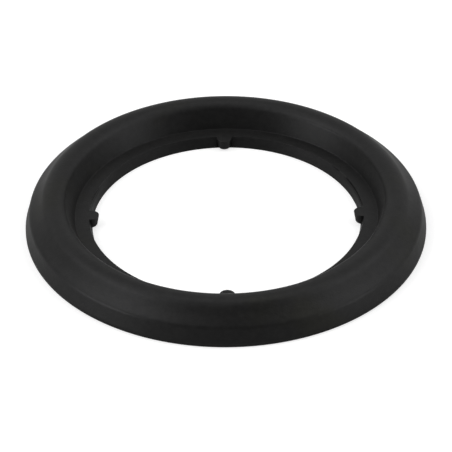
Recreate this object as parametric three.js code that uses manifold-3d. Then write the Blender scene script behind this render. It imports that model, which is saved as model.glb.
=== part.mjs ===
// Moulded rubber washer for a sink waste plug.
// One ring: a tall rounded rim round a low flat seat, with four locating nibs in the hole.
// Millimetres, +Z up, origin at the centre of the flat underside.

import * as THREE from 'three';
import { mergeVertices } from 'three/addons/utils/BufferGeometryUtils.js';
import Module from 'manifold-3d';

// Hole and seat
const holeDiameter = 53.2;        // across the seat's inner edge
const holeLean = 0.5;             // how far the hole wall leans in at the underside
const seatWidth = 2.9;            // flat ring that the plug's plate rests on
const seatHeight = 2.35;
const seatFillet = 0.3;           // hollow corner between the seat and the rim
const lipThickness = 0.3;         // lip of the seat above the undercut
const undercutDepth = 0.2;
const undercutHeight = 0.45;

// Rim
const rimWidth = 9.5;             // from the seat's outer edge to the outside
const rimHeight = 7.25;
const crestFromOutside = 5.75;    // centre of the crest's rounding, measured in from the outside
const crestRounding = 2.7;
const shoulderInset = 0.88;       // draft of the outer wall
const shoulderHeight = 3.8;
const shoulderRounding = 0.55;
const edgeBandHeight = 0.7;       // upright band at the foot of the outer wall
const edgeBandRounding = 1.2;
const baseRounding = 0.25;

// Locating nibs on the hole's wall, level with the seat and narrower towards the foot
const nibCount = 4;
const nibWidth = 3.0;             // at the top, between the flanks
const nibFootWidth = 2.5;
const nibReach = 1.8;             // how far a nib's top stands in from the seat's edge
const nibTipDraft = 0.4;          // how much shorter the nib is at its foot
const nibRootFlare = 0.3;         // hollow corners where the flanks meet the wall
const nibRootDepth = 1.2;         // part of the nib inside the ring's wall
const nibFootRounding = 0.3;
const nibFootGap = 0.1;           // the nibs stop this far above the underside

// Fineness of the curved faces
const ringFacets = 120;
const nibTipFacets = 8;
const nibSlices = 6;
const crestFacetDegrees = 9;
const cornerFacetDegrees = 25;
const weldDistance = 1e-4;

// Most of the room beside it that a rounding may take, whatever its radius
const cornerShare = 0.45;
const crestShare = 0.9;

const holeRadius = holeDiameter / 2;
const holeBaseRadius = holeRadius - holeLean;
const seatOuterRadius = holeRadius + seatWidth;
const outerRadius = seatOuterRadius + rimWidth;
const shoulderRadius = outerRadius - shoulderInset;
const lipBottom = seatHeight - lipThickness;

// Points along an arc of the section, with both ends.
function arcPoints(centre, radius, startAngle, endAngle, facetDegrees) {
  const turnDegrees = THREE.MathUtils.radToDeg(Math.abs(endAngle - startAngle));
  const facets = Math.max(2, Math.ceil(turnDegrees / facetDegrees));
  const points = [];
  for (let i = 0; i <= facets; i += 1) {
    const angle = startAngle + ((endAngle - startAngle) * i) / facets;
    const reach = new THREE.Vector2(Math.cos(angle), Math.sin(angle)).multiplyScalar(radius);
    points.push(centre.clone().add(reach));
  }
  return points;
}

// A corner of the section replaced by an arc that touches both of its sides.
function roundedCorner(before, corner, after, radius) {
  const toBefore = before.clone().sub(corner).normalize();
  const toAfter = after.clone().sub(corner).normalize();
  const halfAngle = Math.acos(THREE.MathUtils.clamp(toBefore.dot(toAfter), -1, 1)) / 2;
  const room = cornerShare * Math.min(before.distanceTo(corner), after.distanceTo(corner));
  const cutBack = Math.min(radius / Math.tan(halfAngle), room);
  const fitted = cutBack * Math.tan(halfAngle);
  const bisector = toBefore.clone().add(toAfter).normalize();
  const centre = corner.clone().addScaledVector(bisector, fitted / Math.sin(halfAngle));
  const start = corner.clone().addScaledVector(toBefore, cutBack).sub(centre);
  const end = corner.clone().addScaledVector(toAfter, cutBack).sub(centre);
  const startAngle = start.angle();
  const turn = Math.atan2(start.cross(end), start.dot(end));
  return arcPoints(centre, fitted, startAngle, startAngle + turn, cornerFacetDegrees);
}

// Angle, seen from a circle's centre, of the point where a line from outside touches the circle.
// side is 1 or -1 and picks one of the two touching lines.
function touchingAngle(centre, radius, outside, side) {
  const toOutside = outside.clone().sub(centre);
  const angle = toOutside.angle() + side * Math.acos(radius / toOutside.length());
  return THREE.MathUtils.euclideanModulo(angle, 2 * Math.PI);
}

// Crest of the rim: one arc that the outer slope and the inner slope both touch.
function crestPoints(shoulder, seatCorner) {
  const roomOutside = crestFromOutside - shoulderInset;
  const roomInside = rimWidth - crestFromOutside;
  const radius = Math.min(crestRounding, crestShare * roomOutside, crestShare * roomInside);
  const centre = new THREE.Vector2(outerRadius - crestFromOutside, rimHeight - radius);
  const startAngle = touchingAngle(centre, radius, shoulder, 1);
  const endAngle = touchingAngle(centre, radius, seatCorner, -1);
  return arcPoints(centre, radius, startAngle, endAngle, crestFacetDegrees);
}

// Closed half section of the ring, anticlockwise from the inner edge of the underside.
function ringSection() {
  const holeBase = new THREE.Vector2(holeBaseRadius, 0);
  const outerBase = new THREE.Vector2(outerRadius, 0);
  const bandTop = new THREE.Vector2(outerRadius, edgeBandHeight);
  const shoulder = new THREE.Vector2(shoulderRadius, shoulderHeight);
  const seatCorner = new THREE.Vector2(seatOuterRadius, seatHeight);
  const seatEdge = new THREE.Vector2(holeRadius, seatHeight);
  const lipFoot = new THREE.Vector2(holeRadius, lipBottom);
  const undercut = new THREE.Vector2(holeRadius + undercutDepth, lipBottom - undercutHeight / 2);
  const wallTopHeight = lipBottom - undercutHeight;
  const wallTop = new THREE.Vector2(holeBaseRadius + (holeLean * wallTopHeight) / lipBottom, wallTopHeight);
  const crest = crestPoints(shoulder, seatCorner);
  const points = [
    holeBase,
    ...roundedCorner(holeBase, outerBase, bandTop, baseRounding),
    ...roundedCorner(outerBase, bandTop, shoulder, edgeBandRounding),
    ...roundedCorner(bandTop, shoulder, crest[0], shoulderRounding),
    ...crest,
    ...roundedCorner(crest[crest.length - 1], seatCorner, seatEdge, seatFillet),
    seatEdge,
    lipFoot,
    undercut,
    wallTop,
  ];
  points.push(points[0].clone());
  return points;
}

// Turned solid with its axis along +Z.
function turned(section, facets) {
  return new THREE.LatheGeometry(section, facets).rotateX(Math.PI / 2);
}

// Plan of one nib at its top: round tip towards the ring's axis, flanks that flare into the wall.
function nibPlan() {
  const halfWidth = nibWidth / 2;
  const tipCentre = holeRadius - nibReach + halfWidth;
  const flareStart = holeRadius - nibRootFlare;
  const flareWidth = halfWidth + nibRootFlare;
  const buried = holeRadius + nibRootDepth;
  const plan = new THREE.Shape();
  plan.absarc(tipCentre, 0, halfWidth, Math.PI / 2, (3 * Math.PI) / 2, false);
  plan.lineTo(flareStart, -halfWidth);
  plan.quadraticCurveTo(holeRadius, -halfWidth, holeRadius, -flareWidth);
  plan.lineTo(buried, -flareWidth);
  plan.lineTo(buried, flareWidth);
  plan.lineTo(holeRadius, flareWidth);
  plan.quadraticCurveTo(holeRadius, halfWidth, flareStart, halfWidth);
  plan.closePath();
  return plan;
}

// How far the foot's rounding pulls the nib's faces in at a height above the foot.
function footInset(height) {
  const below = Math.max(0, nibFootRounding - height);
  return nibFootRounding - Math.sqrt(nibFootRounding ** 2 - below ** 2);
}

// One nib on +X: its plan drawn down to the foot, with drafted faces and a rounded foot.
function nibGeometry() {
  const height = seatHeight - nibFootGap;
  const geometry = new THREE.ExtrudeGeometry(nibPlan(), {
    depth: height,
    steps: nibSlices,
    curveSegments: nibTipFacets / 2,
    bevelEnabled: false,
  });
  const position = geometry.attributes.position;
  for (let i = 0; i < position.count; i += 1) {
    const x = position.getX(i);
    const aboveFoot = position.getZ(i);
    const drop = 1 - aboveFoot / height;
    const inset = footInset(aboveFoot);
    const outOfWall = THREE.MathUtils.clamp((holeRadius - x) / nibReach, 0, 1);
    const width = THREE.MathUtils.lerp(nibWidth, nibFootWidth, drop) - 2 * inset;
    position.setX(i, x + (drop * nibTipDraft + inset) * outOfWall);
    position.setY(i, (position.getY(i) * width) / nibWidth);
  }
  return geometry.translate(0, 0, nibFootGap);
}

const wasm = await Module();
wasm.setup();

// Closed solid from a geometry, with shared vertices merged.
function solidFrom(geometry) {
  const bare = geometry.clone();
  bare.deleteAttribute('normal');
  bare.deleteAttribute('uv');
  const merged = mergeVertices(bare, weldDistance);
  return new wasm.Manifold(new wasm.Mesh({
    numProp: 3,
    vertProperties: new Float32Array(merged.attributes.position.array),
    triVerts: new Uint32Array(merged.index.array),
  }));
}

function geometryFrom(solid) {
  const mesh = solid.getMesh();
  const geometry = new THREE.BufferGeometry();
  geometry.setAttribute('position', new THREE.BufferAttribute(mesh.vertProperties, 3));
  geometry.setIndex(new THREE.BufferAttribute(mesh.triVerts, 1));
  geometry.computeVertexNormals();
  return geometry;
}

// The ring with its nibs moulded on, as one piece.
function washerGeometry() {
  let solid = solidFrom(turned(ringSection(), ringFacets));
  for (let i = 0; i < nibCount; i += 1) {
    const turn = (i * 2 * Math.PI) / nibCount;
    solid = solid.add(solidFrom(nibGeometry().rotateZ(turn)));
  }
  return geometryFrom(solid);
}

const blackRubber = new THREE.MeshStandardMaterial({
  name: 'black_rubber',
  color: new THREE.Color(0.024, 0.024, 0.023),
  roughness: 0.55,
  metalness: 0,
});

const washer = new THREE.Mesh(washerGeometry(), blackRubber);
washer.name = 'plug_washer';

const part = new THREE.Group();
part.add(washer);

export default part;
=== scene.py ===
"""Looks of a moulded rubber washer for a sink waste plug, on a pale studio floor.

Sizes are millimetres and degrees here and metres in the scene. +Z is up, and the origin is
the centre of the flat underside. The washer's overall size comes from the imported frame.
"""

import math

import bpy
from mathutils import Matrix, Vector


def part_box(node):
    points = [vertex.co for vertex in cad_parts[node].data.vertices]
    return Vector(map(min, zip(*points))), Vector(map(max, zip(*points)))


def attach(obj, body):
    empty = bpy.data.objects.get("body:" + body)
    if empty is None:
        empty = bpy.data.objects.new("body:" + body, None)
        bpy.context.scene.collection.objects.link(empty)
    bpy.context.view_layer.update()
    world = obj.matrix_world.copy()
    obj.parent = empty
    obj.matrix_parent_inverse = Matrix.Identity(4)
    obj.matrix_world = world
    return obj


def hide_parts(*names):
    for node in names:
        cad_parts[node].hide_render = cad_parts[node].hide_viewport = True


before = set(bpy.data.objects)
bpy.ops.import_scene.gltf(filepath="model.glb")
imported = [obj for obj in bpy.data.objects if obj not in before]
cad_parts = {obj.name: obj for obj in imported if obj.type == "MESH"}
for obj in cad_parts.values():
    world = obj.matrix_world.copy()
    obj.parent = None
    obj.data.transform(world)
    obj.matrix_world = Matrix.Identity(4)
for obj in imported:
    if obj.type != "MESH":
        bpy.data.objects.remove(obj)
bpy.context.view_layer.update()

MM = 0.001
node_low, node_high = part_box("plug_washer")

# Overall size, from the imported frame
OUTER_RADIUS = node_high.x / MM
RIM_HEIGHT = node_high.z / MM

# Hole and seat
SEAT_WIDTH = 2.75
RIM_WIDTH = 9.5
SEAT_OUTER_RADIUS = OUTER_RADIUS - RIM_WIDTH
HOLE_RADIUS = SEAT_OUTER_RADIUS - SEAT_WIDTH
HOLE_LEAN = 0.65                  # how far the hole's wall leans in at the underside
HOLE_BASE_RADIUS = HOLE_RADIUS - HOLE_LEAN
SEAT_HEIGHT = 2.35
SEAT_FILLET = 0.12
LIP_THICKNESS = 0.08
LIP_BOTTOM = SEAT_HEIGHT - LIP_THICKNESS
HOLE_FOOT_ROUNDING = 0.08

# Undercut below the seat's lip
UNDERCUT_HEIGHT = 0.75
UNDERCUT_FOOT = LIP_BOTTOM - UNDERCUT_HEIGHT
UNDERCUT_DEPTH = 0.02
UNDERCUT_DEEPER = [               # middle direction, half width and extra depth where it bites deeper
    (15, 12.5, 0.5),
    (34, 4, 0.14),
    (168, 10, 0.15),
]
UNDERCUT_FADE = 4                 # degrees over which a deeper stretch runs out
UNDERCUT_SHADE_DEPTH = 0.05               # depth in the undercut at which the painted shade there is darkest

# Rim
CREST_FROM_OUTSIDE = 5.75
CREST_ROUNDING = 3.1
CREST_INNER_ROUNDING = 1.5        # tighter, where the crest turns down to the inner slope
CREST_INNER_START = 36            # degrees from the top at which it begins
SHOULDER_INSET = 0.88
SHOULDER_HEIGHT = 3.8
SHOULDER_ROUNDING = 1.4
SLOPE_BULGE = -0.07               # below zero: the outer slope is a little hollow at its middle
EDGE_BAND_HEIGHT = 0.7
EDGE_BAND_ROUNDING = 1.2
BASE_ROUNDING = 0.25

# The soft ring lies a little out of true in the photograph
CREST_SHIFT = Vector((-0.2, 0.12))
HOLE_SHIFT = Vector((0.12, 0))
INNER_BULGE = (326, 34, 0.36)     # middle direction, half width and depth where the inner side stands in
INNER_BULGE_FADE = 20             # degrees over which the bulge runs out
INNER_BULGE_START = 4.5           # measured in from the outside
INNER_BULGE_FULL = 7.5

# Locating nibs
NIB_COUNT = 4
NIB_WIDTH = 3.0
NIB_FOOT_WIDTH = 2.5
NIB_REACH = 1.95
NIB_EXTRA_REACH = (0, 0, 0, 0.25)  # the nib at the front of the photograph is a little longer
NIB_TURNS = (0, 0, 0, -0.7)       # degrees that a nib lies off its quarter
NIB_TIP_DRAFT = 0.4
NIB_ROOT_FLARE = 0.22             # hollow corner at the top, where the flanks meet the wall
NIB_ROOT_FLARE_LOW = 0.07
NIB_ROOT_FLARE_END = 1.2          # height down to which the hollow corner closes
NIB_FOOT_ROUNDING = 0.3
NIB_FOOT_GAP = 0.1                # the nibs stop this far above the underside
EDGE_ROUNDING = 0.05              # the small rounding on the seat's edge and the nibs' tops

# Fineness of the mesh
PLAIN_COLUMNS = 96                # between two nibs
FLARE_STEPS = 4
FLANK_STEPS = 5
TIP_STEPS = 16
STRAIGHT_STEP = 0.5
EDGE_SUPPORT = 0.05               # rows this close to an edge keep the flat beside it evenly lit
CREST_STEP_DEGREES = 4
CORNER_STEP_DEGREES = 9
SEAT_STEPS = 7
SEAT_EDGE_STEPS = 4
UNDERCUT_ROOF_SHARE = 0.1         # share of its height at which the undercut is deepest
UNDERCUT_SHARES = (0, 0.04, UNDERCUT_ROOF_SHARE, 0.2, 0.35, 0.5, 0.65, 0.8, 0.9, 1)
WALL_STEPS = 5
NIB_FOOT_STEPS = 6
UNDER_NIB_STEPS = 3
HOLE_FOOT_STEPS = 3
UNDERSIDE_STEPS = 12

# Most of the room beside it that a corner's rounding may take
CORNER_SHARE = 0.45

# Camera, as the photograph was taken
CAMERA_DISTANCE = 500
CAMERA_ELEVATION = 35.92
CAMERA_TURN = -0.82               # round the object, so that the nibs appear turned the other way
CAMERA_ROLL = 0.29
CAMERA_RIGHT = 0.01               # the object's origin is a little off the middle of the picture
CAMERA_UP = -0.60
CAMERA_LENS = 204.05
CAMERA_SENSOR = 36
CAMERA_CLIP_START = 10

# Rubber
BLACK_DARK = (0.0072, 0.0072, 0.0071)
BLACK_LIGHT = (0.0112, 0.0111, 0.0108)
SHINE_PLAIN = (0.98, 0.98, 1)
SHINE_WARM = (1, 1, 0.88)
SHINE_LEVEL = 0.2
ROUGHNESS_LOW = 0.395
ROUGHNESS_HIGH = 0.45
MOTTLE_SCALE = 900                # noise scales are cells in a metre
PATCH_SCALE = 75
DULLING_SCALE = 190
TURNING_MARK_SCALE = 1500
GRAIN_SCALE = 2600
TURNING_MARK_DRAG = 0.0004        # how quickly the turning marks change round the ring
TURNING_MARK_DEPTH = 0.02
TURNING_MARK_STRENGTH = 0.3
GRAIN_DEPTH = 0.05
GRAIN_STRENGTH = 0.5

# Floor and light
FLOOR_HALF_SIZE = 3000
FLOOR_BELOW = 0.02                # keeps the floor clear of the flat underside
FLOOR_GREY = 0.55
FLOOR_ROUGHNESS = 0.9
FLOOR_SHINE_LEVEL = 0.1
FLOOR_GLOW_TO_CAMERA = 0.6        # added to the lit floor where the camera sees it, so that it is white
FLOOR_GLOW_IN_REFLECTIONS = 0.05
LAMP_DISTANCE = 1200
WORLD_LEVEL = 0.1


# Profile helpers, in the plane of the section: x is the radius and y the height

def arc_points(centre, radius, start_angle, end_angle, step_degrees):
    steps = max(2, math.ceil(math.degrees(abs(end_angle - start_angle)) / step_degrees))
    points = []
    for i in range(steps + 1):
        angle = start_angle + (end_angle - start_angle) * i / steps
        points.append(centre + Vector((math.cos(angle), math.sin(angle))) * radius)
    return points


def rounded_corner(before, corner, after, radius):
    """A corner replaced by an arc that touches both of its sides."""
    to_before = (before - corner).normalized()
    to_after = (after - corner).normalized()
    half_angle = to_before.angle(to_after) / 2
    room = CORNER_SHARE * min((before - corner).length, (after - corner).length)
    cut_back = min(radius / math.tan(half_angle), room)
    fitted = cut_back * math.tan(half_angle)
    bisector = (to_before + to_after).normalized()
    centre = corner + bisector * (fitted / math.sin(half_angle))
    start = corner + to_before * cut_back - centre
    end = corner + to_after * cut_back - centre
    start_angle = math.atan2(start.y, start.x)
    turn = math.atan2(start.x * end.y - start.y * end.x, start.dot(end))
    return arc_points(centre, fitted, start_angle, start_angle + turn, CORNER_STEP_DEGREES)


def touching_angle(centre, radius, outside, side):
    """Angle of the point where a line from outside touches the circle, on one side or the other."""
    to_outside = outside - centre
    angle = math.atan2(to_outside.y, to_outside.x) + side * math.acos(radius / to_outside.length)
    return angle % (2 * math.pi)


def with_straights_divided(points):
    """The same outline with its long straight stretches divided into short steps."""
    divided = [points[0]]
    for start, end in zip(points, points[1:]):
        length = (end - start).length
        steps = max(1, math.ceil(length / STRAIGHT_STEP))
        shares = [i / steps for i in range(1, steps + 1)]
        if steps > 1:
            shares += [EDGE_SUPPORT / length, 1 - EDGE_SUPPORT / length]
        divided += [start.lerp(end, share) for share in sorted(shares)]
    return divided


def swollen(start, end, bulge):
    """A shallow curve from start to end without its ends, raised to the right of that direction."""
    along = end - start
    outward = Vector((along.y, -along.x)).normalized()
    steps = max(2, math.ceil(along.length / STRAIGHT_STEP))
    points = []
    for i in range(1, steps):
        share = i / steps
        points.append(start + along * share + outward * bulge * 4 * share * (1 - share))
    return points


def rim_profile():
    """From the outer edge of the underside, over the rim, to the outer edge of the seat."""
    hole_base = Vector((HOLE_BASE_RADIUS, 0))
    outer_base = Vector((OUTER_RADIUS, 0))
    band_top = Vector((OUTER_RADIUS, EDGE_BAND_HEIGHT))
    shoulder = Vector((OUTER_RADIUS - SHOULDER_INSET, SHOULDER_HEIGHT))
    seat_corner = Vector((SEAT_OUTER_RADIUS, SEAT_HEIGHT))
    seat_edge = Vector((HOLE_RADIUS, SEAT_HEIGHT))
    crest_centre = Vector((OUTER_RADIUS - CREST_FROM_OUTSIDE, RIM_HEIGHT - CREST_ROUNDING))
    crest_start = touching_angle(crest_centre, CREST_ROUNDING, shoulder, 1)
    turn_in = math.radians(90 + CREST_INNER_START)
    toward_turn = Vector((math.cos(turn_in), math.sin(turn_in)))
    inner_centre = crest_centre + toward_turn * (CREST_ROUNDING - CREST_INNER_ROUNDING)
    crest_end = touching_angle(inner_centre, CREST_INNER_ROUNDING, seat_corner, -1)
    crest = arc_points(crest_centre, CREST_ROUNDING, crest_start, turn_in, CREST_STEP_DEGREES)
    crest += arc_points(inner_centre, CREST_INNER_ROUNDING, turn_in, crest_end, CREST_STEP_DEGREES)[1:]
    shoulder_arc = rounded_corner(band_top, shoulder, crest[0], SHOULDER_ROUNDING)
    return with_straights_divided([
        *rounded_corner(hole_base, outer_base, band_top, BASE_ROUNDING),
        *rounded_corner(outer_base, band_top, shoulder, EDGE_BAND_ROUNDING),
        *shoulder_arc,
        *swollen(shoulder_arc[-1], crest[0], SLOPE_BULGE),
        *crest,
        *rounded_corner(crest[-1], seat_corner, seat_edge, SEAT_FILLET),
    ])


# Columns of the mesh: plain ones round the hole, and bundles that follow each nib's outline

NIB_ROOT_HALF = NIB_WIDTH / 2 + NIB_ROOT_FLARE
NIB_HALF_ANGLE = math.asin(NIB_ROOT_HALF / HOLE_RADIUS)
NIB_STEPS = 2 * (FLARE_STEPS + FLANK_STEPS) + TIP_STEPS


def mesh_columns():
    """For each column its angle, its nib and its place on the nib's outline; plain ones have no nib."""
    columns = []
    between = 2 * math.pi / NIB_COUNT
    plain_span = between - 2 * NIB_HALF_ANGLE
    for nib in range(NIB_COUNT):
        nib_angle = nib * between
        for k in range(NIB_STEPS + 1):
            angle = nib_angle + NIB_HALF_ANGLE * (2 * k / NIB_STEPS - 1)
            columns.append((angle, nib, k))
        for k in range(1, PLAIN_COLUMNS):
            columns.append((nib_angle + NIB_HALF_ANGLE + plain_span * k / PLAIN_COLUMNS, None, None))
    return columns


COLUMNS = mesh_columns()


def root_flare(height):
    """Hollow corner at a nib's root: widest at the seat and nearly closed further down."""
    open_share = (height - NIB_ROOT_FLARE_END) / (SEAT_HEIGHT - NIB_ROOT_FLARE_END)
    return NIB_ROOT_FLARE_LOW + (NIB_ROOT_FLARE - NIB_ROOT_FLARE_LOW) * max(0, open_share)


def nib_outline(wall_radius, half_width, tip_radius, flare):
    """Plan of a nib on +X, from its root on the -Y side round the tip to its root on the +Y side."""
    root = half_width + flare
    wall = Vector((math.sqrt(wall_radius ** 2 - root ** 2), root))
    flank_start = Vector((HOLE_RADIUS - flare, half_width))
    corner = Vector((wall.x, half_width))
    tip_centre = tip_radius + half_width
    side = []
    for i in range(FLARE_STEPS):
        t = i / FLARE_STEPS
        side.append(wall.lerp(corner, t).lerp(corner.lerp(flank_start, t), t))
    for i in range(FLANK_STEPS):
        side.append(flank_start.lerp(Vector((tip_centre, half_width)), i / FLANK_STEPS))
    tip = []
    for i in range(TIP_STEPS + 1):
        angle = math.pi * (i / TIP_STEPS - 0.5)
        tip.append(Vector((tip_centre - half_width * math.cos(angle), half_width * math.sin(angle))))
    return [Vector((p.x, -p.y)) for p in side] + tip + side[::-1]


def skew(radius, height):
    """How far a circle of the ring lies off the foot's centre."""
    crest_share = max(0, (height - SEAT_HEIGHT) / (RIM_HEIGHT - SEAT_HEIGHT))
    hole_share = min(1, (OUTER_RADIUS - radius) / RIM_WIDTH) * (1 - crest_share)
    return CREST_SHIFT * crest_share + HOLE_SHIFT * hole_share


def smooth_share(share):
    """A share held between 0 and 1, with soft ends."""
    share = min(1, max(0, share))
    return share * share * (3 - 2 * share)


def bulged(point):
    """A point in plan moved in, where the ring's inner side isn't quite round."""
    middle, half_width, depth = INNER_BULGE
    direction = math.degrees(math.atan2(point.y, point.x))
    away = abs((direction - middle + 180) % 360 - 180)
    around = smooth_share((half_width - away) / INNER_BULGE_FADE)
    from_outside = OUTER_RADIUS - point.length
    inward = smooth_share((from_outside - INNER_BULGE_START) / (INNER_BULGE_FULL - INNER_BULGE_START))
    return point - point.normalized() * depth * around * inward


def ring_row(radius, height):
    """A full circle of the mesh."""
    shift = skew(radius, height)
    row = []
    for angle, _, _ in COLUMNS:
        point = bulged(Vector((radius * math.cos(angle), radius * math.sin(angle)))) + shift
        row.append(Vector((point.x, point.y, height)))
    return row


def undercut_depth(angle):
    """Depth of the undercut at a direction: shallow all round, and deeper over a few stretches."""
    depth = UNDERCUT_DEPTH
    for middle, half_width, extra in UNDERCUT_DEEPER:
        away = abs((math.degrees(angle) - middle + 180) % 360 - 180)
        depth += extra * smooth_share((half_width - away) / UNDERCUT_FADE)
    return depth


def wall_row(height, wall_radius, half_width, tip_radius, undercut_share=0):
    """The hole's outline at a height, nibs included."""
    nib_wall = wall_radius + UNDERCUT_DEPTH * undercut_share
    outlines = [
        nib_outline(nib_wall, half_width, tip_radius - extra_reach, root_flare(height))
        for extra_reach in NIB_EXTRA_REACH
    ]
    row = []
    for angle, nib, place in COLUMNS:
        if nib is None:
            radius = wall_radius + undercut_depth(angle) * undercut_share
            point = Vector((radius * math.cos(angle), radius * math.sin(angle)))
        else:
            turn = nib * 2 * math.pi / NIB_COUNT + math.radians(NIB_TURNS[nib])
            point = Matrix.Rotation(turn, 2) @ outlines[nib][place]
        point = bulged(point) + HOLE_SHIFT
        row.append(Vector((point.x, point.y, height)))
    return row


def blended_row(first_row, last_row, share):
    return [first.lerp(last, share) for first, last in zip(first_row, last_row)]


def nib_size(height):
    """Half width and tip radius of a nib at a height, with its draft and its rounded foot."""
    drop = min(1, (SEAT_HEIGHT - height) / (SEAT_HEIGHT - NIB_FOOT_GAP))
    below = max(0, NIB_FOOT_ROUNDING - max(0, height - NIB_FOOT_GAP))
    inset = NIB_FOOT_ROUNDING - math.sqrt(max(0, NIB_FOOT_ROUNDING ** 2 - below ** 2))
    half_width = (NIB_WIDTH + (NIB_FOOT_WIDTH - NIB_WIDTH) * drop) / 2 - inset
    tip_radius = HOLE_RADIUS - NIB_REACH + NIB_TIP_DRAFT * drop + inset
    return half_width, tip_radius


def lean_radius(height):
    """Radius of the hole's wall below the undercut."""
    return HOLE_BASE_RADIUS + HOLE_LEAN * height / LIP_BOTTOM


def seat_rows(seat_start):
    """From the end of the corner fillet over the flat seat, and over the nibs' tops, to the edge."""
    start = ring_row(seat_start.x, SEAT_HEIGHT)
    half_width, tip_radius = nib_size(SEAT_HEIGHT)
    edge = wall_row(
        SEAT_HEIGHT,
        HOLE_RADIUS + EDGE_ROUNDING,
        half_width - EDGE_ROUNDING,
        tip_radius + EDGE_ROUNDING,
    )
    shares = [i / SEAT_STEPS for i in range(1, SEAT_STEPS)] + [1 - EDGE_SUPPORT / SEAT_WIDTH, 1]
    rows = [blended_row(start, edge, share) for share in shares]
    for i in range(1, SEAT_EDGE_STEPS + 1):
        angle = math.pi / 2 * i / SEAT_EDGE_STEPS
        inset = EDGE_ROUNDING * (1 - math.sin(angle))
        height = SEAT_HEIGHT - EDGE_ROUNDING * (1 - math.cos(angle))
        rows.append(wall_row(height, HOLE_RADIUS + inset, half_width - inset, tip_radius + inset))
    return rows


def hole_rows():
    """Down the hole's wall: the lip, the undercut below it and the leaning wall to the foot."""
    rows = []
    for share in UNDERCUT_SHARES:
        height = LIP_BOTTOM + (UNDERCUT_FOOT - LIP_BOTTOM) * share
        undercut_share = min(1, share / UNDERCUT_ROOF_SHARE) * (1 - share)
        mouth = HOLE_RADIUS + (lean_radius(UNDERCUT_FOOT) - HOLE_RADIUS) * share
        rows.append(wall_row(height, mouth, *nib_size(height), undercut_share))
    foot_top = NIB_FOOT_GAP + NIB_FOOT_ROUNDING
    for i in range(1, WALL_STEPS + 1):
        height = UNDERCUT_FOOT + (foot_top - UNDERCUT_FOOT) * i / WALL_STEPS
        rows.append(wall_row(height, lean_radius(height), *nib_size(height)))
    for i in range(1, NIB_FOOT_STEPS + 1):
        angle = math.pi / 2 * i / NIB_FOOT_STEPS
        height = foot_top - NIB_FOOT_ROUNDING * math.sin(angle)
        rows.append(wall_row(height, lean_radius(height), *nib_size(height)))
    return rows


def underside_rows(last_wall_row):
    """Under the nibs to the wall, round the hole's lower edge and out over the flat underside."""
    wall_radius = lean_radius(HOLE_FOOT_ROUNDING)
    wall_end = ring_row(wall_radius, HOLE_FOOT_ROUNDING)
    rows = []
    for i in range(1, UNDER_NIB_STEPS + 1):
        rows.append(blended_row(last_wall_row, wall_end, i / UNDER_NIB_STEPS))
    flat_start = wall_radius + HOLE_FOOT_ROUNDING
    for i in range(1, HOLE_FOOT_STEPS + 1):
        angle = math.pi / 2 * i / HOLE_FOOT_STEPS
        radius = flat_start - HOLE_FOOT_ROUNDING * math.cos(angle)
        rows.append(ring_row(radius, HOLE_FOOT_ROUNDING * (1 - math.sin(angle))))
    flat_end = OUTER_RADIUS - BASE_ROUNDING
    for i in range(1, UNDERSIDE_STEPS):
        rows.append(ring_row(flat_start + (flat_end - flat_start) * i / UNDERSIDE_STEPS, 0))
    return rows


def washer_rows():
    """All rows of the mesh, once round the section."""
    profile = rim_profile()
    rows = [ring_row(point.x, point.y) for point in profile]
    rows += seat_rows(profile[-1])
    rows += hole_rows()
    rows += underside_rows(rows[-1])
    return rows


def undercut_shade_share(point):
    """Mask of painted shade in the undercut: how deep in it a point lies, from 0 to 1; on the outer wall
    it is 0.
    """
    depth = math.hypot(point.x - HOLE_SHIFT.x, point.y - HOLE_SHIFT.y) - HOLE_RADIUS
    in_undercut = UNDERCUT_FOOT < point.z < LIP_BOTTOM and depth < SEAT_WIDTH / 2
    return min(1.0, max(0.0, depth / UNDERCUT_SHADE_DEPTH)) if in_undercut else 0.0


def washer_mesh():
    """The whole ring as one closed skin: its rows and its columns both run round and meet."""
    rows = washer_rows()
    columns = len(COLUMNS)
    vertices = [tuple(point * MM) for row in rows for point in row]
    faces = []
    for i in range(len(rows)):
        below = i * columns
        above = (i + 1) % len(rows) * columns
        for j in range(columns):
            k = (j + 1) % columns
            faces.append((below + j, below + k, above + k, above + j))
    mesh = bpy.data.meshes.new("washer_ring")
    mesh.from_pydata(vertices, [], faces)
    mesh.polygons.foreach_set("use_smooth", [True] * len(faces))
    # Mask for the painted shade deep in the undercut, read by the rubber's material
    undercut_painted_shade = mesh.attributes.new("undercut_painted_shade", "FLOAT", "POINT")
    undercut_painted_shade.data.foreach_set("value", [undercut_shade_share(point) for row in rows for point in row])
    mesh.update()
    return mesh


# Materials

def new_material(name):
    material = bpy.data.materials.new(name)
    material.use_nodes = True
    return material, material.node_tree.nodes, material.node_tree.links


def add_noise(nodes, links, vector, scale, detail):
    noise = nodes.new("ShaderNodeTexNoise")
    noise.inputs["Scale"].default_value = scale
    noise.inputs["Detail"].default_value = detail
    links.new(vector, noise.inputs["Vector"])
    return noise.outputs["Fac"]


def add_ramp(nodes, links, factor, low_place, low_colour, high_place, high_colour):
    ramp = nodes.new("ShaderNodeValToRGB")
    ramp.color_ramp.elements[0].position = low_place
    ramp.color_ramp.elements[0].color = (*low_colour, 1)
    ramp.color_ramp.elements[1].position = high_place
    ramp.color_ramp.elements[1].color = (*high_colour, 1)
    links.new(factor, ramp.inputs["Fac"])
    return ramp.outputs["Color"]


def add_bump(nodes, links, height, distance, strength, normal=None):
    bump = nodes.new("ShaderNodeBump")
    bump.inputs["Distance"].default_value = distance
    bump.inputs["Strength"].default_value = strength
    links.new(height, bump.inputs["Height"])
    if normal is not None:
        links.new(normal, bump.inputs["Normal"])
    return bump.outputs["Normal"]


def add_math(nodes, links, operation, first, second):
    node = nodes.new("ShaderNodeMath")
    node.operation = operation
    for value, socket in ((first, node.inputs[0]), (second, node.inputs[1])):
        if isinstance(value, (int, float)):
            socket.default_value = value
        else:
            links.new(value, socket)
    return node.outputs[0]


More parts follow.
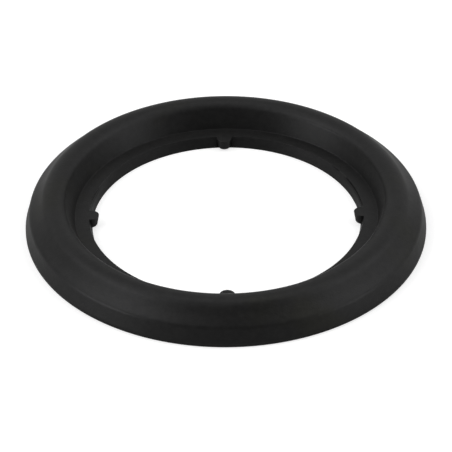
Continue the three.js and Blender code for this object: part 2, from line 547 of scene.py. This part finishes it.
def add_turning_place(nodes, links, place):
    """Coordinates that change quickly across the section and slowly round the ring."""
    parts = nodes.new("ShaderNodeSeparateXYZ")
    links.new(place, parts.inputs["Vector"])
    x, y, height = parts.outputs
    x_squared = add_math(nodes, links, "MULTIPLY", x, x)
    y_squared = add_math(nodes, links, "MULTIPLY", y, y)
    radius = add_math(nodes, links, "SQRT", add_math(nodes, links, "ADD", x_squared, y_squared), 0)
    direction = add_math(nodes, links, "ARCTAN2", y, x)
    around = add_math(nodes, links, "MULTIPLY", direction, TURNING_MARK_DRAG)
    joined = nodes.new("ShaderNodeCombineXYZ")
    links.new(radius, joined.inputs["X"])
    links.new(height, joined.inputs["Y"])
    links.new(around, joined.inputs["Z"])
    return joined.outputs["Vector"]


def rubber_material():
    """Black moulded rubber: fine grain, faint turning marks, dull and warm handled patches, and painted
    shade deep in the undercut.
    """
    material, nodes, links = new_material("moulded_rubber")
    shader = nodes["Principled BSDF"]
    shader.inputs["Specular IOR Level"].default_value = SHINE_LEVEL
    place = nodes.new("ShaderNodeTexCoord").outputs["Object"]

    # Colour: small mottling of the black
    mottle = add_noise(nodes, links, place, MOTTLE_SCALE, 6)
    black = add_ramp(nodes, links, mottle, 0.3, BLACK_DARK, 0.7, BLACK_LIGHT)
    links.new(black, shader.inputs["Base Color"])

    # Wear: patches where handling has left a faint warm bloom, and duller patches
    patches = add_noise(nodes, links, place, PATCH_SCALE, 3)
    bloom = add_ramp(nodes, links, patches, 0.56, SHINE_PLAIN, 0.7, SHINE_WARM)
    dulling = nodes.new("ShaderNodeMapRange")
    dulling.inputs["From Min"].default_value = 0.3
    dulling.inputs["From Max"].default_value = 0.7
    dulling.inputs["To Min"].default_value = ROUGHNESS_LOW
    dulling.inputs["To Max"].default_value = ROUGHNESS_HIGH
    links.new(add_noise(nodes, links, place, DULLING_SCALE, 4), dulling.inputs["Value"])

    # Painted shade in the undercut: the mask dims the reflections there and makes the rubber rougher
    undercut_painted_shade = nodes.new("ShaderNodeAttribute")
    undercut_painted_shade.attribute_name = "undercut_painted_shade"
    dullness = add_math(nodes, links, "MAXIMUM", dulling.outputs["Result"], undercut_painted_shade.outputs["Fac"])
    links.new(dullness, shader.inputs["Roughness"])
    lit = nodes.new("ShaderNodeVectorMath")
    lit.operation = "SCALE"
    links.new(bloom, lit.inputs[0])
    links.new(add_math(nodes, links, "SUBTRACT", 1, undercut_painted_shade.outputs["Fac"]), lit.inputs["Scale"])
    links.new(lit.outputs["Vector"], shader.inputs["Specular Tint"])

    # Bump: turning marks of the mould under the rubber's own grain
    turning = add_noise(nodes, links, add_turning_place(nodes, links, place), TURNING_MARK_SCALE, 2)
    marks = add_bump(nodes, links, turning, TURNING_MARK_DEPTH * MM, TURNING_MARK_STRENGTH)
    grain = add_noise(nodes, links, place, GRAIN_SCALE, 3)
    grained = add_bump(nodes, links, grain, GRAIN_DEPTH * MM, GRAIN_STRENGTH, marks)
    links.new(grained, shader.inputs["Normal"])
    return material


def floor_material():
    """Pale floor: it takes the object's shadow, and shows white to the camera and in reflections."""
    material, nodes, links = new_material("pale_floor")
    shader = nodes["Principled BSDF"]
    shader.inputs["Base Color"].default_value = (FLOOR_GREY, FLOOR_GREY, FLOOR_GREY, 1)
    shader.inputs["Roughness"].default_value = FLOOR_ROUGHNESS
    shader.inputs["Specular IOR Level"].default_value = FLOOR_SHINE_LEVEL
    shader.inputs["Emission Color"].default_value = (1, 1, 1, 1)

    path = nodes.new("ShaderNodeLightPath").outputs
    mirrored = add_math(nodes, links, "MAXIMUM", path["Is Glossy Ray"], path["Is Transmission Ray"])
    in_reflections = add_math(nodes, links, "MULTIPLY", mirrored, FLOOR_GLOW_IN_REFLECTIONS)
    to_camera = add_math(nodes, links, "MULTIPLY", path["Is Camera Ray"], FLOOR_GLOW_TO_CAMERA)
    glow = add_math(nodes, links, "ADD", to_camera, in_reflections)
    links.new(glow, shader.inputs["Emission Strength"])
    return material


# Objects of the scene

def add_washer():
    washer = bpy.data.objects.new("washer_ring", washer_mesh())
    bpy.context.scene.collection.objects.link(washer)
    washer.data.materials.append(rubber_material())
    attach(washer, "root")
    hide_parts("plug_washer")


def add_floor():
    half = FLOOR_HALF_SIZE * MM
    height = -FLOOR_BELOW * MM
    corners = [
        (-half, -half, height),
        (half, -half, height),
        (half, half, height),
        (-half, half, height),
    ]
    mesh = bpy.data.meshes.new("studio_floor")
    mesh.from_pydata(corners, [], [(0, 1, 2, 3)])
    floor = bpy.data.objects.new("studio_floor", mesh)
    floor.data.materials.append(floor_material())
    bpy.context.scene.collection.objects.link(floor)


def add_softbox(name, direction_degrees, elevation_degrees, wide_degrees, high_degrees, radiance):
    """A rectangular lamp that faces the object, placed and sized by the angles it takes up there.

    The direction is seen from the object: 0 is +X and 90 is +Y, behind it in the photograph.
    """
    turn = math.radians(direction_degrees)
    rise = math.radians(elevation_degrees)
    toward = Vector((math.cos(turn) * math.cos(rise), math.sin(turn) * math.cos(rise), math.sin(rise)))
    lamp = bpy.data.lights.new(name, "AREA")
    lamp.shape = "RECTANGLE"
    lamp.size = 2 * LAMP_DISTANCE * math.tan(math.radians(wide_degrees / 2)) * MM
    lamp.size_y = 2 * LAMP_DISTANCE * math.tan(math.radians(high_degrees / 2)) * MM
    lamp.energy = radiance * math.pi * lamp.size * lamp.size_y
    box = bpy.data.objects.new(name, lamp)
    box.location = toward * LAMP_DISTANCE * MM
    box.rotation_euler = toward.to_track_quat("Z", "Y").to_euler()
    box.visible_camera = False
    bpy.context.scene.collection.objects.link(box)


def add_lights():
    """A white tent behind and above the object, with lamps on both sides; nothing lights the front."""
    # Name, direction, elevation, width and height as angles, and radiance
    add_softbox("tent_back", 90, 38, 110, 58, 0.54)
    add_softbox("tent_right", 8, 32, 40, 64, 0.74)
    add_softbox("tent_left", 168, 32, 36, 64, 0.3)
    add_softbox("tent_top", 90, 78, 120, 24, 1.42)
    add_softbox("left_lamp_low", 203, 11, 31, 22, 5.1)
    add_softbox("left_lamp_high", 201, 47, 30, 22, 3.5)
    add_softbox("left_lamp_top", 201, 66, 34, 16, 0.75)
    add_softbox("right_lamp_low", 336, 11, 30, 22, 3.0)
    add_softbox("right_lamp_high", 337, 45, 30, 22, 1.7)
    add_softbox("back_sweep", 90, 4.5, 110, 9, 0.2)


def set_world():
    world = bpy.data.worlds.new("studio")
    world.use_nodes = True
    background = world.node_tree.nodes["Background"]
    background.inputs["Color"].default_value = (1, 1, 1, 1)
    background.inputs["Strength"].default_value = WORLD_LEVEL
    bpy.context.scene.world = world


def add_camera():
    rise = math.radians(CAMERA_ELEVATION)
    level_right = Vector((1, 0, 0))
    level_up = Vector((0, math.sin(rise), math.cos(rise)))
    back = Vector((0, -math.cos(rise), math.sin(rise)))
    roll = math.radians(CAMERA_ROLL)
    right = level_right * math.cos(roll) - level_up * math.sin(roll)
    up = level_right * math.sin(roll) + level_up * math.cos(roll)
    place = right * CAMERA_RIGHT + up * CAMERA_UP + back * CAMERA_DISTANCE
    axes = Matrix((right, up, back)).transposed().to_4x4()
    camera_data = bpy.data.cameras.new("photo_camera")
    camera_data.lens = CAMERA_LENS
    camera_data.sensor_width = CAMERA_SENSOR
    camera_data.clip_start = CAMERA_CLIP_START * MM
    camera = bpy.data.objects.new("photo_camera", camera_data)
    turn = Matrix.Rotation(math.radians(CAMERA_TURN), 4, "Z")
    camera.matrix_world = turn @ Matrix.Translation(place * MM) @ axes
    bpy.context.scene.collection.objects.link(camera)
    bpy.context.scene.camera = camera


add_camera()
add_washer()
add_floor()
add_lights()
set_world()
bpy.context.scene.view_settings.view_transform = "Standard"
